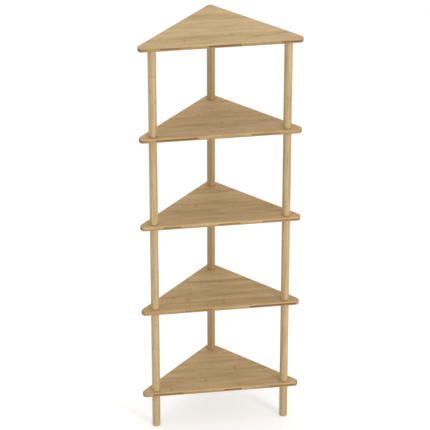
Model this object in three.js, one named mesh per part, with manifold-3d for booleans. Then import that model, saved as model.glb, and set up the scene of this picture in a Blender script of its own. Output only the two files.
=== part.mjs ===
// A five-tier corner shelf unit in laminated bamboo, 1.45 m tall, for the right-angled corner of a room.
//
// Five triangular boards are carried by three round posts: one near each end of the long front edge, and one
// near the corner. A post is a stack of turned lengths, and each board is clamped between two of them. A hanger
// bolt is screwed into the top of the lower length, passes through a hole in the board, and runs into a threaded
// insert let into the foot of the length above. The top board has its inserts in blind pockets underneath, so no
// fastener shows from outside.
//
// Millimetres, +Z up, front edge towards -Y. The origin is on the floor, under the middle of the boards' outline.

import * as THREE from "three";
import { mergeVertices } from "three/addons/utils/BufferGeometryUtils.js";
import Module from "manifold-3d";

const wasm = await Module();
wasm.setup();

// Boards
const wallSide = 400; // each edge that faces a wall, to the sharp corners
const boardThickness = 15;
const boardCornerRadius = 14;
const boardEdgeRound = 3;
const shelfNames = ["bottom_shelf", "lower_shelf", "middle_shelf", "upper_shelf", "top_shelf"];

// Tiers
const legHeight = 129; // floor to the underside of the bottom board
const tierPitch = 326.5; // top face to top face

// Posts
const postDiameter = 27;
const postEndRound = 1.5;
const footRound = 4;
const frontPostFrontInset = 22.5; // centre to the front edge
const frontPostWallInset = 30.5; // centre to the nearer wall edge
const backPostWallInset = 26.5; // centre to both wall edges
const seatGap = 0.3; // between a post's end and the board that it bears on

// Hanger bolts
const boltDiameter = 8;
const boltWoodLength = 30; // the end that is screwed into the post below
const boltPostGrip = 15; // the reach of the other end into an insert in a post
const boltTipDiameter = 3;
const boltTipLength = 6;
const boltNeckDepth = 0.5; // how far the plain neck between the two threads lies below them
const boltNeckLength = 4;
const boltNeckInset = 4; // from the mouth of the post below to the neck
const boltChamfer = 0.8;
const pilotClearance = 0.3; // all round the bolt in its post
const pilotRunout = 2; // past the bolt's tip
const boardHoleClearance = 0.5; // all round the bolt in a board

// Threaded inserts
const insertWall = 1.7; // round the bolt and its clearance
const insertPostLength = 18;
const insertFlangeWidth = 2; // how far the flange stands out from the barrel
const insertFlangeThickness = 1.6;
const insertClearance = 0.3; // all round the insert and past its inner end
const threadClearance = 0.3; // all round the bolt in the insert
const insertChamfer = 0.8;
const boltRunout = 4; // bored past the insert, so that the bolt never bottoms
const pocketSkin = 4; // wood left above a pocket in the top board
const boltEndGap = 1; // between a bolt's end and the bottom of a pocket

// One overrun past the surface serves every cut.
const cutOverrun = 1;

// Facets
const postSides = 24;
const hardwareSides = 12;
const holeSides = 12;
const cornerCurveSegments = 4;
const edgeRoundSegments = 3;
const postRoundSegments = 2;
const footRoundSegments = 4;

// Sizes that follow
const frontEdge = wallSide * Math.SQRT2;
const sharpDepth = frontEdge / 2;
const boardDepth = sharpDepth - boardCornerRadius * (Math.SQRT2 - 1); // the round takes this off the back corner
const frontY = -boardDepth / 2;
const sharpCornerY = frontY + sharpDepth;
const postRadius = postDiameter / 2;
const boltRadius = boltDiameter / 2;
const insertBoreRadius = boltRadius + threadClearance;
const insertRadius = insertBoreRadius + insertWall;
const insertFlangeRadius = insertRadius + insertFlangeWidth;
const postLength = tierPitch - boardThickness - 2 * seatGap;
const topTier = shelfNames.length - 1;
const pocketDepth = boardThickness - pocketSkin;
const insertPocketLength = pocketDepth - insertClearance;
const boltPocketGrip = pocketDepth - boltEndGap;

const frontPostY = frontY + frontPostFrontInset;
const frontPostX = sharpCornerY - frontPostY - frontPostWallInset * Math.SQRT2;
const columns = [
  { name: "front_left", x: -frontPostX, y: frontPostY },
  { name: "front_right", x: frontPostX, y: frontPostY },
  { name: "back", x: 0, y: sharpCornerY - backPostWallInset * Math.SQRT2 },
];

// Materials
const boardBamboo = new THREE.MeshStandardMaterial({ color: 0xc4aa83, roughness: 0.5, metalness: 0 });
const postBamboo = new THREE.MeshStandardMaterial({ color: 0xcbae7c, roughness: 0.45, metalness: 0 });
const zincSteel = new THREE.MeshStandardMaterial({ color: 0xb9bcc0, roughness: 0.35, metalness: 1 });
const zincAlloy = new THREE.MeshStandardMaterial({ color: 0xa9a59b, roughness: 0.45, metalness: 1 });

// The height of a tier's top face above the floor.
function tierTop(tier) {
  return legHeight + boardThickness + tier * tierPitch;
}

// Drops everything but the positions and joins the vertices that coincide.
function welded(geometry) {
  const plain = geometry.clone();
  plain.deleteAttribute("normal");
  plain.deleteAttribute("uv");
  return mergeVertices(plain);
}

// A closed geometry as a solid that can be cut.
function solidOf(geometry) {
  const closed = welded(geometry);
  return new wasm.Manifold(
    new wasm.Mesh({
      numProp: 3,
      vertProperties: closed.attributes.position.array,
      triVerts: new Uint32Array(closed.index.array),
    }),
  );
}

// A solid back as a geometry with flat-shaded normals.
function geometryOf(solid) {
  const mesh = solid.getMesh();
  const indexed = new THREE.BufferGeometry();
  indexed.setAttribute("position", new THREE.BufferAttribute(mesh.vertProperties, mesh.numProp));
  indexed.setIndex(new THREE.BufferAttribute(mesh.triVerts, 1));
  const flat = indexed.toNonIndexed();
  flat.computeVertexNormals();
  return flat;
}

// A profile of (radius, height) points turned about the Z axis.
function turned(profile, sides) {
  return new THREE.LatheGeometry(profile, sides).rotateX(Math.PI / 2);
}

// A quarter of a circle in a profile, counter-clockwise from the angle start.
function quarterRound(centreX, centreY, radius, start, segments) {
  const points = [];
  for (let i = 0; i <= segments; i++) {
    const angle = start + (i / segments) * (Math.PI / 2);
    const x = centreX + radius * Math.cos(angle);
    const y = centreY + radius * Math.sin(angle);
    points.push(new THREE.Vector2(x, y));
  }
  return points;
}

// A drilled hole as the cylinder that it removes, from z = low to z = high.
function drill(radius, low, high, x, y) {
  const cutter = new THREE.CylinderGeometry(radius, radius, high - low, holeSides);
  cutter.rotateX(Math.PI / 2);
  cutter.translate(x, y, (low + high) / 2);
  return solidOf(cutter);
}

// The seat of an insert: a bore with a shallow counterbore for the flange at its mouth. The mouth is at
// z = mouth and the bore runs upwards from it.
function insertSeat(depth, mouth, x, y) {
  const start = mouth - cutOverrun;
  const bore = drill(insertRadius + insertClearance, start, mouth + depth, x, y);
  const flangeDepth = insertFlangeThickness + insertClearance;
  const counterbore = drill(insertFlangeRadius + insertClearance, start, mouth + flangeDepth, x, y);
  return bore.add(counterbore);
}

// The boards' outline: a right-angled triangle, long edge in front, with all three corners rounded.
function boardOutline() {
  const corners = [
    new THREE.Vector2(-frontEdge / 2, frontY),
    new THREE.Vector2(frontEdge / 2, frontY),
    new THREE.Vector2(0, sharpCornerY),
  ];
  const outline = new THREE.Shape();
  corners.forEach((corner, i) => {
    const next = corners[(i + 1) % corners.length].clone().sub(corner);
    const previous = corners[(i + corners.length - 1) % corners.length].clone().sub(corner);
    const between = (next.angle() - previous.angle() + 2 * Math.PI) % (2 * Math.PI);
    const halfAngle = Math.min(between, 2 * Math.PI - between) / 2;
    const bisector = next.clone().normalize().add(previous.clone().normalize()).normalize();
    const centre = corner.clone().addScaledVector(bisector, boardCornerRadius / Math.sin(halfAngle));
    const start = previous.angle() + Math.PI / 2;
    const end = next.angle() - Math.PI / 2;
    outline.absarc(centre.x, centre.y, boardCornerRadius, start, end, false);
  });
  outline.closePath();
  return outline;
}

// A board before drilling, its top face at z = 0, with its edges rounded over above and below.
function boardBlank() {
  const blank = new THREE.ExtrudeGeometry(boardOutline(), {
    depth: boardThickness - 2 * boardEdgeRound,
    bevelThickness: boardEdgeRound,
    bevelSize: boardEdgeRound,
    bevelOffset: -boardEdgeRound,
    bevelSegments: edgeRoundSegments,
    curveSegments: cornerCurveSegments,
  });
  return blank.translate(0, 0, boardEdgeRound - boardThickness);
}

// A board that the bolts pass through.
function drilledBoard() {
  const radius = boltRadius + boardHoleClearance;
  let board = solidOf(boardBlank());
  for (const { x, y } of columns) {
    board = board.subtract(drill(radius, -boardThickness - cutOverrun, cutOverrun, x, y));
  }
  return geometryOf(board);
}

// The top board, with a blind pocket underneath for each insert.
function pocketedBoard() {
  let board = solidOf(boardBlank());
  for (const { x, y } of columns) {
    board = board.subtract(insertSeat(pocketDepth, -boardThickness, x, y));
  }
  return geometryOf(board);
}

// A turned rod on z = 0, with its two ends rounded over.
function rod(length, bottomRound, bottomSegments) {
  const profile = [
    new THREE.Vector2(0, 0),
    ...quarterRound(postRadius - bottomRound, bottomRound, bottomRound, -Math.PI / 2, bottomSegments),
    ...quarterRound(postRadius - postEndRound, length - postEndRound, postEndRound, 0, postRoundSegments),
    new THREE.Vector2(0, length),
  ];
  return solidOf(turned(profile, postSides));
}

// The pilot hole that a hanger bolt is screwed into, bored down from a rod's upper end.
function pilot(length) {
  const depth = boltWoodLength + pilotRunout;
  return drill(boltRadius + pilotClearance, length - depth, length + cutOverrun, 0, 0);
}

// A post between two boards: insert seat below, pilot hole above.
function post() {
  const seatDepth = insertPostLength + insertClearance + boltRunout;
  const seat = insertSeat(seatDepth, 0, 0, 0);
  return geometryOf(rod(postLength, postEndRound, postRoundSegments).subtract(seat).subtract(pilot(postLength)));
}

// A leg under the bottom board: a rounded foot below, pilot hole above.
function leg() {
  const length = legHeight - seatGap;
  return geometryOf(rod(length, footRound, footRoundSegments).subtract(pilot(length)));
}

// A hanger bolt, with z = 0 where it leaves the post below: a pointed wood thread downwards, a plain neck,
// and a machine thread upwards.
function hangerBolt(reach) {
  const neckRadius = boltRadius - boltNeckDepth;
  const neckTop = -boltNeckInset;
  const neckBottom = neckTop - boltNeckLength;
  return turned(
    [
      new THREE.Vector2(0, -boltWoodLength),
      new THREE.Vector2(boltTipDiameter / 2, -boltWoodLength),
      new THREE.Vector2(boltRadius, boltTipLength - boltWoodLength),
      new THREE.Vector2(boltRadius, neckBottom),
      new THREE.Vector2(neckRadius, neckBottom),
      new THREE.Vector2(neckRadius, neckTop),
      new THREE.Vector2(boltRadius, neckTop),
      new THREE.Vector2(boltRadius, reach - boltChamfer),
      new THREE.Vector2(boltRadius - boltChamfer, reach),
      new THREE.Vector2(0, reach),
    ],
    hardwareSides,
  );
}

// A threaded insert, with its flange's face at z = 0 and its barrel upwards.
function threadedInsert(length) {
  return turned(
    [
      new THREE.Vector2(insertBoreRadius, 0),
      new THREE.Vector2(insertFlangeRadius, 0),
      new THREE.Vector2(insertFlangeRadius, insertFlangeThickness),
      new THREE.Vector2(insertRadius, insertFlangeThickness),
      new THREE.Vector2(insertRadius, length - insertChamfer),
      new THREE.Vector2(insertRadius - insertChamfer, length),
      new THREE.Vector2(insertBoreRadius, length),
      new THREE.Vector2(insertBoreRadius, 0),
    ],
    hardwareSides,
  );
}

const unit = new THREE.Group();

// Adds a named piece with its own material at a place in the unit.
function place(name, geometry, material, x, y, z) {
  const piece = new THREE.Mesh(geometry, material.clone());
  piece.name = name;
  piece.position.set(x, y, z);
  unit.add(piece);
}

// The boards
const drilled = drilledBoard();
const pocketed = pocketedBoard();
shelfNames.forEach((name, tier) => {
  place(name, tier === topTier ? pocketed : drilled, boardBamboo, 0, 0, tierTop(tier));
});

// The posts: on each column a leg, then one length above each board but the top one
const legGeometry = leg();
const postGeometry = post();
for (const { name, x, y } of columns) {
  place(`${name}_leg`, legGeometry, postBamboo, x, y, 0);
  for (let tier = 0; tier < topTier; tier++) {
    place(`${name}_post_${tier + 1}`, postGeometry, postBamboo, x, y, tierTop(tier) + seatGap);
  }
}

// The joints: a bolt up through each board into the insert above it, and into a pocket in the top board
const throughReach = seatGap + boardThickness + seatGap + boltPostGrip;
const throughBolt = hangerBolt(throughReach);
const pocketBolt = hangerBolt(seatGap + boltPocketGrip);
const postInsert = threadedInsert(insertPostLength);
const pocketInsert = threadedInsert(insertPocketLength);
for (const { name, x, y } of columns) {
  for (let tier = 0; tier <= topTier; tier++) {
    const isTop = tier === topTier;
    const underside = tierTop(tier) - boardThickness;
    const insertMouth = isTop ? underside : tierTop(tier) + seatGap;
    place(`${name}_bolt_${tier + 1}`, isTop ? pocketBolt : throughBolt, zincSteel, x, y, underside - seatGap);
    place(`${name}_insert_${tier + 1}`, isTop ? pocketInsert : postInsert, zincAlloy, x, y, insertMouth);
  }
}

export default unit;
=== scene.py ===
"""The looks of a five-tier corner shelf unit in laminated bamboo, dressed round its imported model.

The unit is five triangular boards on three columns of turned posts. Every piece is built again here with its
real roundings, bores and threads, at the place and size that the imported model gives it, and stands for that
node. Lengths are in metres, and values whose names end in _mm are in millimetres.
"""

import logging
import math
from collections.abc import Iterable
from dataclasses import dataclass, field
from enum import Enum

import bmesh
import bpy
from mathutils import Matrix, Vector


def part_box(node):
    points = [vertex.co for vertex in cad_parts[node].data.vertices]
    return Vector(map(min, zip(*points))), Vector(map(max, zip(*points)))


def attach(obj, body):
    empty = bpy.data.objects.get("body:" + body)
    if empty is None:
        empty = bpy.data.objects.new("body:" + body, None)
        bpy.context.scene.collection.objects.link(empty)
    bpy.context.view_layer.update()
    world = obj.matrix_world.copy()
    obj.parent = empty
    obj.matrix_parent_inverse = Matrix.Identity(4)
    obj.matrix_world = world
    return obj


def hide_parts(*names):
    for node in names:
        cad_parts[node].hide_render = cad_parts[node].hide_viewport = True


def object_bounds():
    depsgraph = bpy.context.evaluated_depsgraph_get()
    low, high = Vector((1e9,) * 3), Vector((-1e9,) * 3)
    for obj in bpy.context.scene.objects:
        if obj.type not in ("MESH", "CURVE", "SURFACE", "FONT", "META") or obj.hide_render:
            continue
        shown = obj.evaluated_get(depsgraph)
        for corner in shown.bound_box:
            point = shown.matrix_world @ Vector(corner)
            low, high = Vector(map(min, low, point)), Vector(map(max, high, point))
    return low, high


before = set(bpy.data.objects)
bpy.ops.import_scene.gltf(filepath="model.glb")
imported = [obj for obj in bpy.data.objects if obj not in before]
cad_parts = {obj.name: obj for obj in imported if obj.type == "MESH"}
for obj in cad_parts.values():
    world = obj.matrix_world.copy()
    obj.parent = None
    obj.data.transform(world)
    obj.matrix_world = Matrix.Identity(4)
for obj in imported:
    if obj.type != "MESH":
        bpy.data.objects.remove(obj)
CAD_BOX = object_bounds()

MM = 0.001
FULL_TURN = 2 * math.pi
BODY = "root"
COLUMNS = ("front_left", "front_right", "back")

log = logging.getLogger("corner_shelf_unit")

BLACK = (0.0, 0.0, 0.0, 1.0)
WHITE = (1.0, 1.0, 1.0, 1.0)

# Short names for the types that are passed about most.
Points = list[Vector]
Corners = list[bmesh.types.BMVert]
Tree = bpy.types.NodeTree
Node = bpy.types.Node
Feed = Node | bpy.types.NodeSocket
Material = bpy.types.Material
Piece = bpy.types.Object


def linear(hex_colour: str) -> tuple[float, float, float, float]:
    """Turns an sRGB colour into the linear one that Blender mixes.

    Args:
        hex_colour: The colour as "#RRGGBB".

    Returns:
        Linear red, green and blue, and an alpha of 1.
    """
    # The numbers are those of the sRGB standard.
    shares = [int(hex_colour[i : i + 2], 16) / 255 for i in (1, 3, 5)]
    red, green, blue = (s / 12.92 if s <= 0.04045 else ((s + 0.055) / 1.055) ** 2.4 for s in shares)
    return red, green, blue, 1.0


def add_node(
    tree: Tree, kind: str, inputs: dict[int | str, object] | None = None, **settings: object
) -> Node:
    """Adds a node, sets it up and feeds it.

    Args:
        tree: The node tree to add to.
        kind: The node's type after "ShaderNode", such as "Math".
        inputs: For each input, by name or number, a value, a socket, or a node whose first output feeds it.
        **settings: The node's own properties.

    Returns:
        The node.
    """
    node = tree.nodes.new("ShaderNode" + kind)
    for key, value in settings.items():
        setattr(node, key, value)
    for key, value in (inputs or {}).items():
        if isinstance(key, int):
            socket = node.inputs[key]
        else:
            socket = next(s for s in node.inputs if s.enabled and s.name == key)
        if isinstance(value, Node):
            value = next(s for s in value.outputs if s.enabled)
        if isinstance(value, bpy.types.NodeSocket):
            tree.links.new(value, socket)
        else:
            socket.default_value = value
    return node


def new_material(name: str) -> tuple[Material, Tree]:
    """Makes a material with an empty node tree.

    Args:
        name: The material's name.

    Returns:
        The material and its tree.
    """
    material = bpy.data.materials.new(name)
    material.use_nodes = True
    material.node_tree.nodes.clear()
    return material, material.node_tree


class Grain(Enum):
    """Which way a piece's strips run. The rows turn the unit's axes into along, across and through them."""

    ALONG_THE_FRONT = ((1, 0, 0), (0, 1, 0), (0, 0, 1))
    UP_THE_POST = ((0, 0, 1), (1, 0, 0), (0, 1, 0))


@dataclass(frozen=True)
class Figure:
    """Marks of one real size in the bamboo, in millimetres along and across the grain.

    They are drawn from noise with `detail` finer layers. A mark starts where the noise reaches `least`, is
    full from `most` on, and shows by the share `shows`.
    """

    length_mm: float
    width_mm: float
    detail: float
    shows: float
    least: float = 0.32
    most: float = 0.68

    @property
    def scales(self) -> tuple[float, float, float]:
        """The factors that make the noise as long along the grain as the marks, and as wide across it."""
        return 1 / self.length_mm, 1 / self.width_mm, 1 / self.width_mm


@dataclass(frozen=True)
class Stretch:
    """A length of a core strip that is steamed brown, from 0, pale, to 1, as dark as they come."""

    start_mm: float
    end_mm: float
    depth: float


@dataclass(frozen=True)
class Ring:
    """A joint of the cane right round a piece: how far along it lies, and by what share it shows."""

    place_mm: float
    shows: float


class Lot(Enum):
    """Lots of bamboo, each with its palest, its middle and its deepest tone. The last two are darker copies
    that paint shade.
    """

    PALE = ("#D5B88A", "#CAAC7D", "#B49260")
    STRAW = ("#D0B582", "#C4A976", "#AF9059")
    # A darker, greyer copy of the pale lot: painted shade, which darkens the top board's edges.
    MUTED_PAINTED_SHADE = ("#C9B288", "#BFA77C", "#A98D5E")
    # A darker copy of the straw lot: painted shade, for the shade that falls on the back column.
    DARK_PAINTED_SHADE = ("#C2AB7C", "#B79E70", "#A38655")


@dataclass(frozen=True)
class LaminatedBamboo:
    """Bamboo strips glued side by side in plies, planed or turned, then sanded and sealed in clear lacquer.

    The eye sees straw-coloured strips that differ a little in tone, fine fibres along them, a short brown
    mark where a strip crosses a joint of the cane, thin broken glue lines, and deeper colour where the strips
    end. Some strips of a board's core are steamed brown, and show on its edges as dark dashes with square
    ends. A board's lacquer is nearly matt. A turned piece's is satin, over fine rings from sanding on the
    lathe, which draw its highlight out along it.
    """

    name: str
    grain: Grain
    origin_mm: tuple[float, float, float]
    seed: float
    lot: Lot
    turn_deg: float = 0.0
    steamed: tuple[Stretch, ...] = ()
    rings: tuple[Ring, ...] = ()
    # The tone runs from 0, a lot's palest, to 1, its deepest. A strip's own draw adds up to the spread to it,
    # and each ply below the face adds a step of painted shade, which darkens the lower part of a board's
    # edge.
    tone: float = -0.03
    lot_spread: float = 0.35
    painted_shade_per_ply: float = 0.0
    roughness: float = 0.62
    ior: float = 1.5
    # How far the highlight is drawn out, and the quarter turn that lays it along the piece.
    drawn_out: float = 0.0
    drawn_out_turn: float = 0.25
    strip_mm: float = 20.7
    ply_mm: float = 5.6
    ply_stagger_share: float = 0.36
    # The counts of strips and plies run ahead by these shares of one, so that no face lies on a glue line.
    strip_ahead: float = 0.1
    ply_ahead: float = 0.143
    # The plies' numbers count from 0 at the underside. A ply is the core where its number is this near to it.
    core_ply: float = 1.0
    face_ply: float = 2.0
    ply_tolerance: float = 0.25
    # How far a strip may be shifted in the noise, so that no mark runs on into the next strip.
    strip_scatter: float = 53.0
    vein: str = "#98703E"
    fibre: str = "#A8854F"
    glue: str = "#8F6E40"
    joint_brown: str = "#865D31"
    steamed_brown: str = "#6F4519"
    end_grain: str = "#97692F"
    # Soft bands of tone in a strip, a few darker veins, its fibres, and its bundles of vessels. Real fibres
    # and bundles are about 0.4 mm across, too fine to show, so they are drawn about six times as coarse.
    bands: Figure = Figure(length_mm=150.0, width_mm=18.0, detail=2.0, shows=0.72)
    veins: Figure = Figure(length_mm=80.0, width_mm=6.0, detail=1.5, shows=0.5, least=0.56, most=0.76)
    fibres: Figure = Figure(length_mm=45.0, width_mm=2.6, detail=2.0, shows=0.2)
    bundles: Figure = Figure(length_mm=9.0, width_mm=2.4, detail=1.0, shows=0.36)
    # The stretches along which a glue line shows. Real lines are about 0.1 mm wide, too thin to show, so they
    # are drawn whole up to the first distance from the middle, and are gone at the second.
    glue_stretches: Figure = Figure(
        length_mm=70.0, width_mm=14.0, detail=1.0, shows=0.45, least=0.42, most=0.62
    )
    glue_whole_mm: float = 0.1
    glue_gone_mm: float = 0.6
    # Joints of the cane: how far apart they are, by how many of these lengths a strip may be shifted, how far
    # the fibres fray them, and the power of the draw of lots that leaves most of them faint.
    joint_spacing_mm: float = 230.0
    joint_shifts: float = 7.0
    joint_fray_mm: float = 4.0
    joint_rarity: float = 3.0
    joints_show: float = 0.75
    # A joint's fine line and the soft band over it: how many millimetres each reaches, and how dark it is.
    joint_line: tuple[float, float] = (1.3, 0.4)
    joint_band: tuple[float, float] = (9.0, 0.45)
    ring_fray_mm: float = 1.5
    ring_reach_mm: float = 3.2
    # The steamed stretches come again after the first length, which is more than a board has. In each strip
    # behind the front one they lie further left by the second. Between the fibres they are a little paler.
    core_repeat_mm: float = 600.0
    core_shift_mm: float = 173.0
    steamed_least: float = 0.8
    # How far a surface faces along the strips, from 0 to 1, when end grain starts to show on it, and how
    # strongly it shows at 1.
    end_grain_from: float = 0.1
    end_grain_shows: float = 0.85
    # How much glossier the surface is between the fibres, and how much rougher on them.
    glossier: float = 0.05
    rougher: float = 0.06
    # How high each mark stands, as a share of the relief's depth. Glue lines lie low.
    bundle_rise: float = 0.4
    fibre_rise: float = 0.5
    joint_rise: float = 0.6
    glue_rise: float = -0.8
    relief_strength: float = 0.35
    relief_mm: float = 0.05

    def build(self) -> Material:
        """Builds the material.

        Returns:
            The material.
        """
        material, tree = new_material(self.name)
        space = self._grain_space(tree)
        parts = add_node(tree, "SeparateXYZ", {"Vector": space})
        along, across, through = parts.outputs
        ply = self._number(tree, through, self.ply_mm, self.ply_ahead)
        shifted = add_node(
            tree,
            "Math",
            {0: ply, 1: self.ply_stagger_share * self.strip_mm, 2: across},
            operation="MULTIPLY_ADD",
        )
        strip = self._number(tree, shifted, self.strip_mm, self.strip_ahead)
        cell = add_node(tree, "CombineXYZ", {"X": strip, "Y": ply, "Z": self.seed})
        draw = add_node(tree, "TexWhiteNoise", {"Vector": cell}, noise_dimensions="3D")
        scatter = add_node(
            tree, "VectorMath", {0: draw.outputs["Color"], "Scale": self.strip_scatter}, operation="SCALE"
        )
        figures = (self.bands, self.veins, self.fibres, self.bundles)
        bands, *streaks = (self._streaks(tree, space, scatter, figure) for figure in figures)
        fibres, bundles = streaks[1:]
        glue = self._glue_lines(tree, space, shifted, through)
        joints = self._cane_joints(tree, along, draw, cell, fibres)
        shows = (*(figure.shows for figure in figures[1:]), self.glue_stretches.shows, self.joints_show)
        shades = (self.vein, self.fibre, self.fibre, self.glue, self.joint_brown)
        tone = self._tone(tree, draw, ply, bands)
        colour = self._sound_colour(tree, tone, zip((*streaks, glue, joints), shows, shades))
        colour = self._steamed_core(tree, colour, along, strip, ply, fibres)
        colour = self._end_grain(tree, colour)
        span = {"To Min": self.roughness - self.glossier, "To Max": self.roughness + self.rougher}
        gloss = add_node(tree, "MapRange", {"Value": fibres, **span})
        shader = add_node(
            tree,
            "BsdfPrincipled",
            {
                "Base Color": colour,
                "Roughness": gloss,
                "IOR": self.ior,
                "Anisotropic": self.drawn_out,
                "Anisotropic Rotation": self.drawn_out_turn,
                "Normal": self._relief(tree, fibres, bundles, glue, joints),
            },
        )
        add_node(tree, "OutputMaterial", {"Surface": shader})
        return material

    def _grain_space(self, tree: Tree) -> Node:
        """Turns the piece's own coordinates into millimetres along, across and through its strips.

        Args:
            tree: The material's tree.

        Returns:
            The node that gives them.
        """
        turn = Matrix.Rotation(math.radians(self.turn_deg), 3, "X") @ Matrix(self.grain.value)
        coordinates = add_node(tree, "TexCoord")
        return add_node(
            tree,
            "Mapping",
            {
                "Vector": coordinates.outputs["Object"],
                "Location": -(turn @ Vector(self.origin_mm)),
                "Rotation": turn.to_euler(),
                "Scale": (1 / MM, 1 / MM, 1 / MM),
            },
        )

    def _number(self, tree: Tree, place: Feed, pitch_mm: float, ahead: float) -> Node:
        """Numbers the plies, the strips or the lengths of cane.

        Args:
            tree: The material's tree.
            place: Millimetres along the row of them.
            pitch_mm: The size of one.
            ahead: The share of one by which the count runs ahead, so that a face is never on a boundary.

        Returns:
            A node with the whole number.
        """
        counted = add_node(tree, "Math", {0: place, 1: 1 / pitch_mm, 2: ahead}, operation="MULTIPLY_ADD")
        return add_node(tree, "Math", {0: counted}, operation="FLOOR")

    def _off_boundary(self, tree: Tree, place: Feed, pitch_mm: float, ahead: float) -> Node:
        """Measures how far a point lies from the nearest boundary of the plies, strips or lengths of cane.

        Args:
            tree: The material's tree.
            place: Millimetres along the row of them.
            pitch_mm: The size of one.
            ahead: The share of one by which the count runs ahead.

        Returns:
            A node with the distance in millimetres.
        """
        # Half a pitch further on, each boundary lies in the middle of its own wrapped length.
        centred = add_node(tree, "Math", {0: place, 1: pitch_mm * (ahead + 0.5)}, operation="ADD")
        wrapped = add_node(tree, "Math", {0: centred, 1: pitch_mm}, operation="FLOORED_MODULO")
        offset = add_node(tree, "Math", {0: wrapped, 1: pitch_mm / 2}, operation="SUBTRACT")
        return add_node(tree, "Math", {0: offset}, operation="ABSOLUTE")

    def _fade(
        self, tree: Tree, distance: Feed, gone_mm: float, shows: float = 1.0, whole_mm: float = 0.0
    ) -> Node:
        """Fades a mark out smoothly on both sides of its middle.

        Args:
            tree: The material's tree.
            distance: Millimetres from the middle.
            gone_mm: How far from it the mark has gone.
            shows: How strongly the mark shows where it is whole.
            whole_mm: How far from the middle it is whole.

        Returns:
            A node with the mark's strength.
        """
        span = {"From Min": whole_mm, "From Max": gone_mm, "To Min": shows, "To Max": 0.0}
        return add_node(tree, "MapRange", {"Value": distance, **span}, interpolation_type="SMOOTHSTEP")

    def _streaks(self, tree: Tree, space: Feed, scatter: Feed, figure: Figure) -> Node:
        """Draws one size of streak along the grain, laid out anew in every strip.

        Args:
            tree: The material's tree.
            space: The place in grain space.
            scatter: The strip's own shift.
            figure: The streak's real size.

        Returns:
            A node that runs from 0 to 1.
        """
        place = add_node(
            tree, "VectorMath", {0: space, 1: figure.scales, 2: scatter}, operation="MULTIPLY_ADD"
        )
        noise = add_node(tree, "TexNoise", {"Vector": place, "Scale": 1.0, "Detail": figure.detail})
        return add_node(tree, "MapRange", {"Value": noise, "From Min": figure.least, "From Max": figure.most})

    def _glue_lines(self, tree: Tree, space: Feed, shifted: Feed, through: Feed) -> Node:
        """Draws the glue lines between strips and between plies, which show only here and there.

        Args:
            tree: The material's tree.
            space: The place in grain space.
            shifted: Millimetres across the strips, with the stagger of the ply.
            through: Millimetres through the plies.

        Returns:
            A node that is 1 on a glue line.
        """
        beside = self._off_boundary(tree, shifted, self.strip_mm, self.strip_ahead)
        between = self._off_boundary(tree, through, self.ply_mm, self.ply_ahead)
        nearest = add_node(tree, "Math", {0: beside, 1: between}, operation="MINIMUM")
        line = self._fade(tree, nearest, self.glue_gone_mm, whole_mm=self.glue_whole_mm)
        figure = self.glue_stretches
        place = add_node(tree, "VectorMath", {0: space, 1: figure.scales}, operation="MULTIPLY")
        fading = add_node(
            tree,
            "TexNoise",
            {"Vector": place, "W": self.seed, "Scale": 1.0, "Detail": figure.detail},
            noise_dimensions="4D",
        )
        kept = add_node(
            tree, "MapRange", {"Value": fading, "From Min": figure.least, "From Max": figure.most}
        )
        return add_node(tree, "Math", {0: line, 1: kept}, operation="MULTIPLY")

    def _cane_joints(self, tree: Tree, along: Feed, draw: Feed, cell: Feed, fibres: Feed) -> Node:
        """Draws the brown mark where a strip crosses a joint of the cane. Most are faint.

        Args:
            tree: The material's tree.
            along: Millimetres along the grain.
            draw: The strip's draw of lots.
            cell: The strip's number and its ply's.
            fibres: The fibres, which fray the mark.

        Returns:
            A node that grows towards 1 in the middle of a strong mark.
        """
        spacing = self.joint_spacing_mm
        started = add_node(
            tree,
            "Math",
            {0: draw.outputs["Value"], 1: self.joint_shifts * spacing, 2: along},
            operation="MULTIPLY_ADD",
        )
        frayed = add_node(
            tree, "Math", {0: fibres, 1: self.joint_fray_mm, 2: started}, operation="MULTIPLY_ADD"
        )
        distance = self._off_boundary(tree, frayed, spacing, 0.0)
        # Half a spacing ahead, the count changes midway between two joints.
        number = self._number(tree, frayed, spacing, 0.5)
        chance = add_node(tree, "TexWhiteNoise", {"Vector": cell, "W": number}, noise_dimensions="4D")
        strength = add_node(
            tree, "Math", {0: chance.outputs["Value"], 1: self.joint_rarity}, operation="POWER"
        )
        line, band = (self._fade(tree, distance, *mark) for mark in (self.joint_line, self.joint_band))
        both = add_node(tree, "Math", {0: line, 1: band}, operation="ADD")
        joints = add_node(tree, "Math", {0: both, 1: strength}, operation="MULTIPLY")
        for ring in self.rings:
            wavy = add_node(
                tree, "Math", {0: fibres, 1: self.ring_fray_mm, 2: along}, operation="MULTIPLY_ADD"
            )
            offset = add_node(tree, "Math", {0: wavy, 1: ring.place_mm}, operation="SUBTRACT")
            distance = add_node(tree, "Math", {0: offset}, operation="ABSOLUTE")
            mark = self._fade(tree, distance, self.ring_reach_mm, ring.shows)
            joints = add_node(tree, "Math", {0: joints, 1: mark}, operation="MAXIMUM")
        return joints

    def _tone(self, tree: Tree, draw: Feed, ply: Feed, bands: Feed) -> Node:
        """Sets the tone of the natural bamboo, from 0, its lot's palest, to 1, its deepest.

        Args:
            tree: The material's tree.
            draw: The strip's draw of lots.
            ply: The ply's number. Each ply below the face is darkened by a step of painted shade.
            bands: The soft bands of tone.

        Returns:
            A node with the tone.
        """
        underside = self.tone + self.face_ply * self.painted_shade_per_ply
        ply_shade_tone = add_node(tree, "Math", {0: ply, 1: -self.painted_shade_per_ply, 2: underside}, operation="MULTIPLY_ADD")
        own = add_node(
            tree, "Math", {0: draw.outputs["Value"], 1: self.lot_spread, 2: ply_shade_tone}, operation="MULTIPLY_ADD"
        )
        return add_node(tree, "Math", {0: bands, 1: self.bands.shows, 2: own}, operation="MULTIPLY_ADD")

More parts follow.
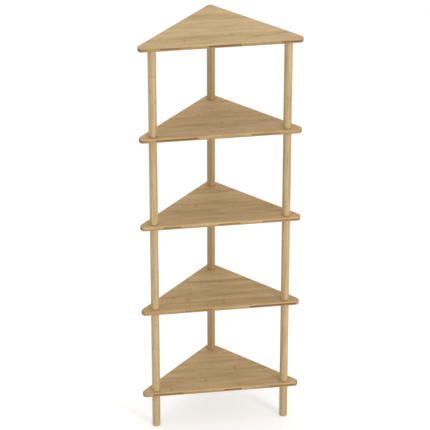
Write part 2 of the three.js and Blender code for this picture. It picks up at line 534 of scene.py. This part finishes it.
    def _sound_colour(self, tree: Tree, tone: Feed, marks: Iterable[tuple[Feed, float, str]]) -> Node:
        """Mixes the colour of the natural bamboo and lays its marks over it.

        Args:
            tree: The material's tree.
            tone: The tone, from 0 to 1.
            marks: Where each kind of mark is, how strongly it shows, and its colour.

        Returns:
            A node with the colour.
        """
        colour = add_node(tree, "ValToRGB", {"Fac": tone})
        stops = colour.color_ramp.elements
        palest, middle, deepest = self.lot.value
        halfway = (stops[0].position + stops[1].position) / 2
        stops[0].color, stops[1].color = linear(palest), linear(deepest)
        stops.new(halfway).color = linear(middle)
        for mask, shows, shade in marks:
            amount = add_node(tree, "Math", {0: mask, 1: shows}, operation="MULTIPLY")
            colour = add_node(
                tree, "Mix", {"Factor": amount, "A": colour, "B": linear(shade)}, data_type="RGBA"
            )
        return colour

    def _steamed_core(
        self, tree: Tree, colour: Feed, along: Feed, strip: Feed, ply: Feed, fibres: Feed
    ) -> Feed:
        """Browns the steamed stretches of the core: as given in its front strip, and shifted in those behind.

        Args:
            tree: The material's tree.
            colour: The colour so far.
            along: Millimetres along the grain.
            strip: The strip's number, 0 at the front.
            ply: The ply's number.
            fibres: The fibres.

        Returns:
            The colour with the core browned.
        """
        if not self.steamed:
            return colour
        # The middle of the board lies in the middle of the colour ramp.
        repeat, middle = self.core_repeat_mm, 0.5
        shifted = add_node(
            tree, "Math", {0: strip, 1: self.core_shift_mm, 2: along}, operation="MULTIPLY_ADD"
        )
        centred = add_node(tree, "Math", {0: shifted, 1: repeat * middle}, operation="ADD")
        wrapped = add_node(tree, "Math", {0: centred, 1: repeat}, operation="FLOORED_MODULO")
        share = add_node(tree, "Math", {0: wrapped, 1: 1 / repeat}, operation="MULTIPLY")
        ramp = add_node(tree, "ValToRGB", {"Fac": share})
        ramp.color_ramp.interpolation = "CONSTANT"
        stops = ramp.color_ramp.elements
        stops[0].color = stops[1].color = BLACK
        for stretch in self.steamed:
            stops.new(stretch.start_mm / repeat + middle).color = (stretch.depth,) * 3 + (1.0,)
            stops.new(stretch.end_mm / repeat + middle).color = BLACK
        in_core = add_node(
            tree, "Math", {0: ply, 1: self.core_ply, 2: self.ply_tolerance}, operation="COMPARE"
        )
        uneven = add_node(tree, "MapRange", {"Value": fibres, "To Min": self.steamed_least, "To Max": 1.0})
        brown = add_node(tree, "Math", {0: ramp, 1: uneven}, operation="MULTIPLY")
        amount = add_node(tree, "Math", {0: brown, 1: in_core}, operation="MULTIPLY")
        return add_node(
            tree, "Mix", {"Factor": amount, "A": colour, "B": linear(self.steamed_brown)}, data_type="RGBA"
        )

    def _end_grain(self, tree: Tree, colour: Feed) -> Node:
        """Deepens the colour where the surface cuts across the strips, whose open ends drink in more lacquer.

        Args:
            tree: The material's tree.
            colour: The colour so far.

        Returns:
            A node with the colour.
        """
        along = Vector(self.grain.value[0])
        normal = add_node(tree, "TexCoord").outputs["Normal"]
        facing = add_node(tree, "VectorMath", {0: normal, 1: along}, operation="DOT_PRODUCT")
        size = add_node(tree, "Math", {0: facing.outputs["Value"]}, operation="ABSOLUTE")
        amount = add_node(
            tree, "MapRange", {"Value": size, "From Min": self.end_grain_from, "To Max": self.end_grain_shows}
        )
        return add_node(
            tree, "Mix", {"Factor": amount, "A": colour, "B": linear(self.end_grain)}, data_type="RGBA"
        )

    def _relief(self, tree: Tree, fibres: Feed, bundles: Feed, glue: Feed, joints: Feed) -> Node:
        """Raises bundles, fibres and joints and sinks the glue lines, by hundredths of a millimetre.

        Args:
            tree: The material's tree.
            fibres: The fibres.
            bundles: The bundles of vessels.
            glue: The glue lines.
            joints: The marks of the cane's joints.

        Returns:
            A bump node.
        """
        height = add_node(tree, "Math", {0: bundles, 1: self.bundle_rise}, operation="MULTIPLY")
        for mask, rise in ((fibres, self.fibre_rise), (joints, self.joint_rise), (glue, self.glue_rise)):
            height = add_node(tree, "Math", {0: mask, 1: rise, 2: height}, operation="MULTIPLY_ADD")
        depth = self.relief_mm * MM
        return add_node(tree, "Bump", {"Height": height, "Strength": self.relief_strength, "Distance": depth})


@dataclass(frozen=True)
class ZincSkin:
    """A zinc surface, plated on steel or die-cast in the alloy, a little uneven in tone and gloss.

    The eye sees a cool grey metal whose highlights are soft and slightly mottled.
    """

    name: str
    bright: str
    dull: str
    roughness: float
    mottle_mm: float
    mottle_detail: float = 3.0
    # How much glossier the bright spots are, and how much rougher the dull ones.
    glossier: float = 0.08
    rougher: float = 0.1
    relief_strength: float = 0.2
    relief_mm: float = 0.02

    def build(self) -> Material:
        """Builds the material.

        Returns:
            The material.
        """
        material, tree = new_material(self.name)
        coordinates = add_node(tree, "TexCoord")
        mottle = add_node(
            tree,
            "TexNoise",
            {
                "Vector": coordinates.outputs["Object"],
                "Scale": 1 / (self.mottle_mm * MM),
                "Detail": self.mottle_detail,
            },
        )
        bright, dull = linear(self.bright), linear(self.dull)
        colour = add_node(tree, "Mix", {"Factor": mottle, "A": bright, "B": dull}, data_type="RGBA")
        span = {"To Min": self.roughness - self.glossier, "To Max": self.roughness + self.rougher}
        gloss = add_node(tree, "MapRange", {"Value": mottle, **span})
        depth = self.relief_mm * MM
        bump = add_node(tree, "Bump", {"Height": mottle, "Strength": self.relief_strength, "Distance": depth})
        shader = add_node(
            tree,
            "BsdfPrincipled",
            {"Base Color": colour, "Metallic": 1.0, "Roughness": gloss, "Normal": bump},
        )
        add_node(tree, "OutputMaterial", {"Surface": shader})
        return material


@dataclass(frozen=True)
class Thread:
    """A screw thread as the radius of its surface all round. It fades out at both ends.

    The radius is `rest` between the ridges and `peak` on them, and a ridge takes `ridge_share` of the pitch.
    On a pointed shank the whole of it narrows to `tip_share` over the length of the tip.
    """

    low: float
    high: float
    rest: float
    peak: float
    pitch: float
    ridge_share: float = 0.9
    tip: float = 0.0
    tip_share: float = 1.0
    steps_a_turn: int = 6

    def radius(self, height: float, angle: float) -> float:
        """Gives the surface's radius at one point.

        Args:
            height: The point's height.
            angle: Its angle round the axis.

        Returns:
            The radius.
        """
        phase = (height / self.pitch - angle / FULL_TURN) % 1
        ridge = max(0.0, 1 - abs(2 * phase - 1) / self.ridge_share)
        fade = min(1.0, (height - self.low) / self.pitch, (self.high - height) / self.pitch)
        taper = 1.0
        if self.tip:
            taper = min(1.0, self.tip_share + (1 - self.tip_share) * (height - self.low) / self.tip)
        return (self.rest + (self.peak - self.rest) * ridge * max(0.0, fade)) * taper

    def heights(self) -> list[float]:
        """Lists the heights of the rings that draw the thread, from low to high."""
        steps = math.ceil((self.high - self.low) / self.pitch * self.steps_a_turn)
        return [self.low + (self.high - self.low) * i / steps for i in range(steps + 1)]


class Skin:
    """The closed skin of one piece, made by joining rings of points."""

    sharp_from_deg: float = 40.0

    def __init__(self) -> None:
        """Starts an empty skin."""
        self.mesh = bmesh.new()

    def loft(self, rings: list[Points], closed: bool = False) -> tuple[Corners, Corners]:
        """Joins each ring to the next. A ring of a single point closes the skin there.

        Args:
            rings: The rings, each with as many points as its neighbours, or one.
            closed: Whether the last ring joins the first.

        Returns:
            The first and the last ring's corners.
        """
        rows = [[self.mesh.verts.new(point) for point in ring] for ring in rings]
        following = rows[1:] + rows[:1] if closed else rows[1:]
        for low, high in zip(rows, following):
            count = max(len(low), len(high))
            for i in range(count):
                j = (i + 1) % count
                corners = (low[i % len(low)], low[j % len(low)], high[j % len(high)], high[i % len(high)])
                self.mesh.faces.new(dict.fromkeys(corners))
        return rows[0], rows[-1]

    def fill(self, rims: list[Corners]) -> None:
        """Fills the flat face inside the first rim and outside the others.

        Args:
            rims: The corners of each rim, in order round it.
        """
        edges = [self.mesh.edges.get(pair) for rim in rims for pair in zip(rim, rim[1:] + rim[:1])]
        bmesh.ops.triangle_fill(self.mesh, edges=edges, use_beauty=True, normal=(0, 0, 1))

    def piece(self, name: str, node: str, material: Material, slot: str) -> Piece:
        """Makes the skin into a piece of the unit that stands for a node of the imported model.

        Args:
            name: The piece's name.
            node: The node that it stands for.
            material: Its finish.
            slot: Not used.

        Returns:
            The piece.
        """
        bmesh.ops.recalc_face_normals(self.mesh, faces=self.mesh.faces)
        data = bpy.data.meshes.new(name)
        self.mesh.to_mesh(data)
        self.mesh.free()
        data.shade_smooth()
        data.set_sharp_from_angle(angle=math.radians(self.sharp_from_deg))
        data.materials.append(material)
        piece = bpy.data.objects.new(name, data)
        bpy.context.collection.objects.link(piece)
        even = piece.modifiers.new("even_shading", "WEIGHTED_NORMAL")
        even.keep_sharp = True
        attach(piece, BODY)
        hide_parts(node)
        log.info("%s stands for %s: %d corners", name, node, len(data.vertices))
        return piece


@dataclass(frozen=True)
class Lathe:
    """An upright axis to turn profiles round, at a node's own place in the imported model."""

    x: float
    y: float
    sides: int

    @classmethod
    def at(cls, node: str, sides: int) -> "Lathe":
        """Sets the lathe up on a node's middle line.

        Args:
            node: The node.
            sides: How many sides the turned piece has.

        Returns:
            The lathe.
        """
        low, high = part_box(node)
        return cls((low.x + high.x) / 2, (low.y + high.y) / 2, sides)

    def ring(self, radius: float | Thread, height: float) -> Points:
        """Gives the ring of points at one height, or the single point on the axis.

        Args:
            radius: The radius, or the thread that gives it.
            height: The height.

        Returns:
            The points.
        """
        if radius == 0:
            return [Vector((self.x, self.y, height))]
        points = []
        for i in range(self.sides):
            angle = FULL_TURN * i / self.sides
            reach = radius.radius(height, angle) if isinstance(radius, Thread) else radius
            across, back = reach * math.cos(angle), reach * math.sin(angle)
            points.append(Vector((self.x + across, self.y + back, height)))
        return points

    def turn(self, profile: Iterable[tuple[float | Thread, float]]) -> list[Points]:
        """Gives the rings of a whole profile.

        Args:
            profile: Radius and height of each of its points, in order.

        Returns:
            The rings.
        """
        return [self.ring(radius, height) for radius, height in profile]


def quarter(
    radius: float, height: float, round_over: float, up: bool, steps: int = 6
) -> list[tuple[float, float]]:
    """Draws the rounded corner between a piece's side and its end, from bottom to top.

    Args:
        radius: How far out the side lies.
        height: The height of the end.
        round_over: The corner's own radius.
        up: Whether the end is the upper one.
        steps: How many straight lines draw the corner.

    Returns:
        Radius and height of each point.
    """
    points = []
    for i in range(steps + 1):
        angle = math.pi / 2 * i / steps
        if up:
            inset, drop = round_over * (1 - math.cos(angle)), round_over * (1 - math.sin(angle))
            points.append((radius - inset, height - drop))
        else:
            inset, rise = round_over * (1 - math.sin(angle)), round_over * (1 - math.cos(angle))
            points.append((radius - inset, height + rise))
    return points


@dataclass(frozen=True)
class Seat:
    """The stepped hole that a threaded insert is driven into. Its mouth is at the bottom."""

    depth_mm: float
    radius_mm: float = 6.3
    mouth_radius_mm: float = 8.3
    mouth_depth_mm: float = 1.9

    def profile(self, mouth: float) -> list[tuple[float, float]]:
        """Draws the hole from the middle of its roof down to its mouth.

        Args:
            mouth: The height of its mouth.

        Returns:
            Radius and height of each point.
        """
        roof, step = mouth + self.depth_mm * MM, mouth + self.mouth_depth_mm * MM
        bore, wide = self.radius_mm * MM, self.mouth_radius_mm * MM
        return [(0.0, roof), (bore, roof), (bore, step), (wide, step), (wide, mouth)]


@dataclass
class Board:
    """One shelf board: a right-angled triangle with rounded corners and edges, the long side to the front."""

    node: str
    seed: float
    lot: Lot
    steamed: tuple[Stretch, ...]
    bored_through: bool = True
    corner_radius_mm: float = 14.0
    edge_round_mm: float = 3.0
    hole_radius_mm: float = 4.5
    hole_sides: int = 32
    corner_step_deg: float = 5.625
    round_steps: int = 6
    pocket: Seat = Seat(depth_mm=11.0)
    # Each ply below the face is this much darker in tone: painted shade on the lower part of the edge.
    painted_shade_per_ply: float = 0.4

    def outline(self, inset: float, height: float) -> Points:
        """Gives the board's outline, drawn in from its edge.

        Args:
            inset: How far in.
            height: Its height.

        Returns:
            The points, anticlockwise from above.
        """
        low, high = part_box(self.node)
        corner = self.corner_radius_mm * MM
        front, side = low.y + corner, high.x - corner
        # The middle of each corner's arc, and the headings between which it turns.
        corners = (((-side, front), 135, 270), ((side, front), 270, 405), ((0.0, high.y - corner), 45, 135))
        points = []
        for (x, y), start, end in corners:
            steps = round((end - start) / self.corner_step_deg)
            for i in range(steps + 1):
                angle = math.radians(start + (end - start) * i / steps)
                reach = corner - inset
                points.append(Vector((x + reach * math.cos(angle), y + reach * math.sin(angle), height)))
        return points

    def edge(self) -> list[Points]:
        """Gives the outlines that draw the board's edge and its two roundings, from the underside up."""
        low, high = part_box(self.node)
        soft = self.edge_round_mm * MM
        under = quarter(0.0, low.z, soft, up=False, steps=self.round_steps)
        over = quarter(0.0, high.z, soft, up=True, steps=self.round_steps)
        return [self.outline(-reach, height) for reach, height in under + over]

    def build(self) -> Piece:
        """Builds the board with its bolt holes, or with blind pockets where it is the top one.

        Returns:
            The piece.
        """
        low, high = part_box(self.node)
        skin = Skin()
        under, over = skin.loft(self.edge())
        under_rims, over_rims = [under], [over]
        for column in COLUMNS:
            lathe = Lathe.at(f"{column}_leg", self.hole_sides)
            if self.bored_through:
                hole = self.hole_radius_mm * MM
                rims = skin.loft(lathe.turn([(hole, low.z), (hole, high.z)]))
                under_rims.append(rims[0])
                over_rims.append(rims[1])
            else:
                under_rims.append(skin.loft(lathe.turn(self.pocket.profile(low.z)))[1])
        skin.fill(under_rims)
        skin.fill(over_rims)
        return skin.piece(f"{self.node}_board", self.node, self.finish().build(), "board_bamboo")

    def finish(self) -> LaminatedBamboo:
        """Picks the bamboo for this board: three plies, their strips along the front."""
        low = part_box(self.node)[0]
        return LaminatedBamboo(
            name=f"laminated_bamboo_planed_{self.node}",
            grain=Grain.ALONG_THE_FRONT,
            origin_mm=(0.0, low.y / MM, low.z / MM),
            seed=self.seed,
            lot=self.lot,
            steamed=self.steamed,
            painted_shade_per_ply=self.painted_shade_per_ply,
        )


@dataclass(frozen=True)
class HangerBolt:
    """A bolt with a coarse wood thread and a point below, a plain neck, and a machine thread above."""

    steel: Material
    crest_radius_mm: float = 4.0
    wood_root_mm: float = 2.9
    wood_pitch_mm: float = 3.0
    wood_ridge_share: float = 0.4
    tip_length_mm: float = 6.0
    tip_share: float = 0.375
    neck_start_mm: float = 22.0
    neck_end_mm: float = 26.0
    neck_radius_mm: float = 3.5
    neck_slope_mm: float = 0.4
    machine_root_mm: float = 3.4
    machine_pitch_mm: float = 1.25
    end_chamfer_mm: float = 0.6
    sides: int = 24

    def build(self, node: str) -> Piece:
        """Cuts one bolt.

        Args:
            node: The node that it stands for.

        Returns:
            The piece.
        """
        low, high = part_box(node)
        start, end = low.z, high.z
        neck_start, neck_end = start + self.neck_start_mm * MM, start + self.neck_end_mm * MM
        crest, neck, slope = self.crest_radius_mm * MM, self.neck_radius_mm * MM, self.neck_slope_mm * MM
        wood = Thread(
            low=start,
            high=neck_start,
            rest=self.wood_root_mm * MM,
            peak=crest,
            pitch=self.wood_pitch_mm * MM,
            ridge_share=self.wood_ridge_share,
            tip=self.tip_length_mm * MM,
            tip_share=self.tip_share,
        )
        machine = Thread(
            low=neck_end,
            high=end - self.end_chamfer_mm * MM,
            rest=self.machine_root_mm * MM,
            peak=crest,
            pitch=self.machine_pitch_mm * MM,
        )
        profile = [(0.0, start), *((wood, height) for height in wood.heights())]
        profile += [(neck, neck_start + slope), (neck, neck_end - slope)]
        profile += [(machine, height) for height in machine.heights()]
        profile += [((self.machine_root_mm - self.end_chamfer_mm) * MM, end), (0.0, end)]
        skin = Skin()
        skin.loft(Lathe.at(node, self.sides).turn(profile))
        return skin.piece(f"{node}_threaded", node, self.steel, "zinc_plated_steel")


@dataclass(frozen=True)
class ThreadedInsert:
    """A flanged insert, driven in from below: a coarse thread outside, a machine thread inside."""

    zinc: Material
    flange_radius_mm: float = 8.0
    flange_height_mm: float = 1.6
    flange_chamfer_mm: float = 0.3
    crest_radius_mm: float = 6.0
    root_radius_mm: float = 5.2
    outside_pitch_mm: float = 2.5
    outside_ridge_share: float = 0.5
    bore_radius_mm: float = 4.3
    inside_depth_mm: float = 0.3
    inside_pitch_mm: float = 1.25
    mouth_chamfer_mm: float = 0.6
    plain_end_mm: float = 1.0
    sides: int = 24

    def build(self, node: str) -> Piece:
        """Cuts one insert.

        Args:
            node: The node that it stands for.

        Returns:
            The piece.
        """
        low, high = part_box(node)
        start, end = low.z, high.z
        plain, soft = self.plain_end_mm * MM, self.flange_chamfer_mm * MM
        flange, flange_top = self.flange_radius_mm * MM, start + self.flange_height_mm * MM
        bore, root = self.bore_radius_mm * MM, self.root_radius_mm * MM
        outside = Thread(
            low=flange_top + soft,
            high=end - plain,
            rest=root,
            peak=self.crest_radius_mm * MM,
            pitch=self.outside_pitch_mm * MM,
            ridge_share=self.outside_ridge_share,
        )
        inside = Thread(
            low=start + plain,
            high=end - plain,
            rest=bore + self.inside_depth_mm * MM,
            peak=bore,
            pitch=self.inside_pitch_mm * MM,
        )
        mouth = bore + self.mouth_chamfer_mm * MM
        profile = [(mouth, start), (flange - soft, start), (flange, start + soft)]
        profile += [(flange, flange_top - soft), (flange - soft, flange_top), (root, flange_top)]
        profile += [(outside, height) for height in outside.heights()]
        profile += [(root - soft, end), (bore + soft, end)]
        profile += [(inside, height) for height in reversed(inside.heights())]
        skin = Skin()
        skin.loft(Lathe.at(node, self.sides).turn(profile), closed=True)
        return skin.piece(f"{node}_threaded", node, self.zinc, "zinc_alloy")


@dataclass(frozen=True)
class Stock:
    """The bamboo that a column is made of: how far its strips are turned, their tone, and their lot."""

    turn_deg: float
    tone: float
    lot: Lot


@dataclass
class Column:
    """One column of the unit: its leg, its four post lengths, and the fasteners that clamp the boards."""

    name: str
    seed: float
    stock: Stock
    rings: dict[str, tuple[Ring, ...]]
    bolt: HangerBolt
    insert: ThreadedInsert
    sides: int = 64
    end_round_mm: float = 1.5
    foot_round_mm: float = 4.0
    pilot_radius_mm: float = 4.3
    pilot_depth_mm: float = 32.0
    tiers: tuple[int, ...] = (1, 2, 3, 4)
    # A leg has the draw of strips this far on from its column's, and each post length that of its tier.
    leg_seed_step: float = 6.0
    seat: Seat = Seat(depth_mm=22.3)
    roughness: float = 0.4
    # Lacquer's own value is 1.5. This one was matched to the strength of the highlight in the photograph.
    gloss_ior: float = 1.8
    drawn_out: float = 0.9

    def build(self) -> list[Piece]:
        """Builds every piece of the column, from the floor up.

        Returns:
            The pieces.
        """
        pieces = [self.stick(f"{self.name}_leg", self.seed + self.leg_seed_step)]
        pieces += [self.stick(f"{self.name}_post_{tier}", self.seed + tier) for tier in self.tiers]
        for number in (*self.tiers, len(self.tiers) + 1):
            pieces.append(self.bolt.build(f"{self.name}_bolt_{number}"))
            pieces.append(self.insert.build(f"{self.name}_insert_{number}"))
        return pieces

    def stick(self, node: str, seed: float) -> Piece:
        """Turns a leg or a post length. Both have a pilot hole on top, and a post has an insert's seat below.

        Args:
            node: The node that it stands for.
            seed: What makes its bamboo its own.

        Returns:
            The piece.
        """
        low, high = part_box(node)
        is_leg = node.endswith("_leg")
        radius = (high.x - low.x) / 2
        foot = self.foot_round_mm if is_leg else self.end_round_mm
        pilot, bottom = self.pilot_radius_mm * MM, high.z - self.pilot_depth_mm * MM
        profile = [(0.0, low.z)] if is_leg else self.seat.profile(low.z)
        profile += quarter(radius, low.z, foot * MM, up=False)
        profile += quarter(radius, high.z, self.end_round_mm * MM, up=True)
        profile += [(pilot, high.z), (pilot, bottom), (0.0, bottom)]
        skin = Skin()
        skin.loft(Lathe.at(node, self.sides).turn(profile))
        finish = LaminatedBamboo(
            name=f"laminated_bamboo_turned_{node}",
            grain=Grain.UP_THE_POST,
            origin_mm=((low.x + high.x) / 2 / MM, (low.y + high.y) / 2 / MM, low.z / MM),
            seed=seed,
            lot=self.stock.lot,
            turn_deg=self.stock.turn_deg,
            rings=self.rings.get(node, ()),
            tone=self.stock.tone,
            roughness=self.roughness,
            ior=self.gloss_ior,
            drawn_out=self.drawn_out,
        )
        return skin.piece(f"{node}_turned", node, finish.build(), "post_bamboo")


@dataclass(frozen=True)
class Lamp:
    """A square soft box aimed at the unit. Its heading is 0 in front of the unit and grows to the right."""

    name: str
    heading_deg: float
    height_deg: float
    distance: float
    size: float
    watts: float

    def build(self, target: Vector) -> None:
        """Hangs the lamp.

        Args:
            target: The point that it is aimed at.
        """
        data = bpy.data.lights.new(self.name, "AREA")
        data.size, data.energy = self.size, self.watts
        lamp = bpy.data.objects.new(self.name, data)
        bpy.context.collection.objects.link(lamp)
        around, up = math.radians(self.heading_deg), math.radians(self.height_deg)
        away = Vector((math.sin(around) * math.cos(up), -math.cos(around) * math.cos(up), math.sin(up)))
        lamp.location = target + self.distance * away
        lamp.rotation_euler = (-away).to_track_quat("-Z", "Y").to_euler()
        lamp.visible_camera = False


@dataclass
class Studio:
    """A pale floor, an even white surround, soft lamps, and the camera at the photograph's angle."""

    # The camera was solved from straight edges in the photograph. Its heading and dip are in radians.
    camera_place: tuple[float, float, float] = (-1.0542, -7.7505, 5.4412)
    camera_heading: float = 0.13503
    camera_dip: float = 0.5409
    sensor_mm: float = 36.0
    focal_px: float = 2763.3
    image_px: float = 430.0
    floor_radius: float = 12.0
    floor_sides: int = 96
    floor_colour: str = "#D9D9D7"
    floor_roughness: float = 0.9
    # The floor's own glow to the eye, which with the light on it comes to white.
    floor_glow: float = 0.45
    # The surround's strength as a light. To the eye it has a strength of 1, which is white.
    surround_light: float = 0.71
    lamps: tuple[Lamp, ...] = (
        Lamp("key_soft_box", heading_deg=36.0, height_deg=11.0, distance=8.0, size=1.8, watts=249.0),
        Lamp("fill_soft_box", heading_deg=-65.0, height_deg=12.0, distance=8.0, size=2.8, watts=48.0),
        Lamp("overhead_soft_box", heading_deg=180.0, height_deg=86.0, distance=2.6, size=1.0, watts=12.0),
    )

    def build(self) -> None:
        """Builds the whole studio."""
        self.aim_camera()
        self.light_surround()
        self.lay_floor()
        middle = Vector((0, 0, (CAD_BOX[0].z + CAD_BOX[1].z) / 2))
        for lamp in self.lamps:
            lamp.build(middle)
        bpy.context.scene.view_settings.view_transform = "Standard"

    def aim_camera(self) -> None:
        """Sets the camera up where the photograph was taken from."""
        data = bpy.data.cameras.new("camera")
        data.sensor_width = self.sensor_mm
        data.lens = self.sensor_mm * self.focal_px / self.image_px
        camera = bpy.data.objects.new("camera", data)
        bpy.context.collection.objects.link(camera)
        heading, dip = self.camera_heading, self.camera_dip
        level = math.cos(dip)
        ahead = Vector((math.sin(heading) * level, math.cos(heading) * level, -math.sin(dip)))
        camera.location = self.camera_place
        camera.rotation_euler = ahead.to_track_quat("-Z", "Y").to_euler()
        bpy.context.scene.camera = camera

    def seen_directly(self, tree: Tree) -> Node:
        """Tells rays from the camera, or from a reflection or a pane, from those that carry light about.

        Args:
            tree: The node tree.

        Returns:
            A node that is 1 for the first kind.
        """
        path = add_node(tree, "LightPath")
        seen = path.outputs["Is Camera Ray"]
        for other in ("Is Glossy Ray", "Is Transmission Ray"):
            seen = add_node(tree, "Math", {0: seen, 1: path.outputs[other]}, operation="MAXIMUM")
        return seen

    def light_surround(self) -> None:
        """Makes the surround white to look at, and a soft even light for everything in it."""
        world = bpy.data.worlds.new("white_surround")
        world.use_nodes = True
        tree = world.node_tree
        tree.nodes.clear()
        seen = self.seen_directly(tree)
        strength = add_node(tree, "MapRange", {"Value": seen, "To Min": self.surround_light, "To Max": 1.0})
        light = add_node(tree, "Background", {"Color": WHITE, "Strength": strength})
        add_node(tree, "OutputWorld", {"Surface": light})
        bpy.context.scene.world = world

    def lay_floor(self) -> None:
        """Lays a matt pale floor that reads as white and keeps the unit's shadow."""
        material, tree = new_material("matt_painted_floor")
        glow = add_node(tree, "Math", {0: self.seen_directly(tree), 1: self.floor_glow}, operation="MULTIPLY")
        paint = add_node(
            tree,
            "BsdfPrincipled",
            {"Base Color": linear(self.floor_colour), "Roughness": self.floor_roughness},
        )
        lift = add_node(tree, "Emission", {"Color": WHITE, "Strength": glow})
        both = add_node(tree, "AddShader", {0: paint, 1: lift})
        add_node(tree, "OutputMaterial", {"Surface": both})
        data = bpy.data.meshes.new("floor")
        disc = bmesh.new()
        bmesh.ops.create_circle(disc, cap_ends=True, segments=self.floor_sides, radius=self.floor_radius)
        disc.to_mesh(data)
        disc.free()
        data.materials.append(material)
        floor = bpy.data.objects.new("floor", data)
        bpy.context.collection.objects.link(floor)


@dataclass
class CornerShelfUnit:
    """The whole unit: five boards and three columns."""

    plated_steel: ZincSkin = ZincSkin(
        "zinc_plated_rolled_steel", bright="#C9CCCE", dull="#A9ADB1", roughness=0.3, mottle_mm=1.5
    )
    cast_alloy: ZincSkin = ZincSkin(
        "zinc_alloy_die_cast", bright="#B5B7BA", dull="#94979B", roughness=0.42, mottle_mm=0.9
    )
    top_node: str = "top_shelf"
    # This draw of strips has a darker one near the back corner and one near the front, as in the photograph.
    top_seed: float = 330.0
    # The seeds of a column's pieces start this far on from the last column's.
    column_seed_step: float = 10.0
    stocks: dict[str, Stock] = field(
        default_factory=lambda: {
            "front_left": Stock(turn_deg=8.0, tone=-0.14, lot=Lot.STRAW),
            "front_right": Stock(turn_deg=14.0, tone=0.02, lot=Lot.STRAW),
            # The back column's darker lot and deep tone are painted shade, for the shade that falls on it
            # under the boards.
            "back": Stock(turn_deg=5.0, tone=0.62, lot=Lot.DARK_PAINTED_SHADE),
        }
    )
    # Where a joint of the cane shows as a ring round a post length.
    rings: dict[str, tuple[Ring, ...]] = field(
        default_factory=lambda: {
            "front_left_post_1": (Ring(place_mm=168.0, shows=0.25),),
            "front_left_post_4": (Ring(place_mm=221.5, shows=0.6),),
            "front_right_post_4": (Ring(place_mm=107.5, shows=0.25),),
        }
    )
    # Where the front strip of each board's core is steamed brown: from where to where, in millimetres to the
    # right of the middle, and how dark.
    steamed: dict[str, tuple[Stretch, ...]] = field(
        default_factory=lambda: {
            "bottom_shelf": (
                Stretch(-230, -128, 0.85),
                Stretch(-128, 10, 0.15),
                Stretch(10, 70, 0.9),
                Stretch(104, 162, 0.12),
                Stretch(162, 258, 0.75),
            ),
            "lower_shelf": (
                Stretch(-120, -60, 0.5),
                Stretch(-60, -30, 0.75),
                Stretch(96, 250, 0.95),
            ),
            "middle_shelf": (
                Stretch(-188, -132, 0.75),
                Stretch(-10, 62, 0.65),
                Stretch(134, 262, 0.55),
            ),
            "upper_shelf": (
                Stretch(-262, -234, 0.5),
                Stretch(-210, -76, 0.95),
                Stretch(-36, 62, 0.14),
                Stretch(98, 190, 0.65),
            ),
            "top_shelf": (
                Stretch(-262, -234, 0.5),
                Stretch(-196, -130, 0.7),
                Stretch(-42, 62, 1.0),
                Stretch(62, 192, 0.2),
                Stretch(192, 260, 0.8),
            ),
        }
    )

    def build(self) -> list[Piece]:
        """Builds the boards, then the columns.

        Returns:
            The pieces.
        """
        pieces = []
        for number, (node, stretches) in enumerate(self.steamed.items(), start=1):
            is_top = node == self.top_node
            # The top board's muted lot is painted shade on its edges.
            seed, lot = (self.top_seed, Lot.MUTED_PAINTED_SHADE) if is_top else (float(number), Lot.PALE)
            pieces.append(Board(node, seed, lot, stretches, bored_through=not is_top).build())
        bolt, insert = HangerBolt(self.plated_steel.build()), ThreadedInsert(self.cast_alloy.build())
        for number, name in enumerate(COLUMNS, start=1):
            seed = self.column_seed_step * number
            pieces += Column(name, seed, self.stocks[name], self.rings, bolt, insert).build()
        return pieces


def main() -> None:
    """Builds the studio and the unit, and reports what was made."""
    logging.basicConfig(level=logging.INFO, format="%(message)s")
    Studio().build()
    pieces = CornerShelfUnit().build()
    log.info("%d pieces in all", len(pieces))


if __name__ == "__main__":
    main()
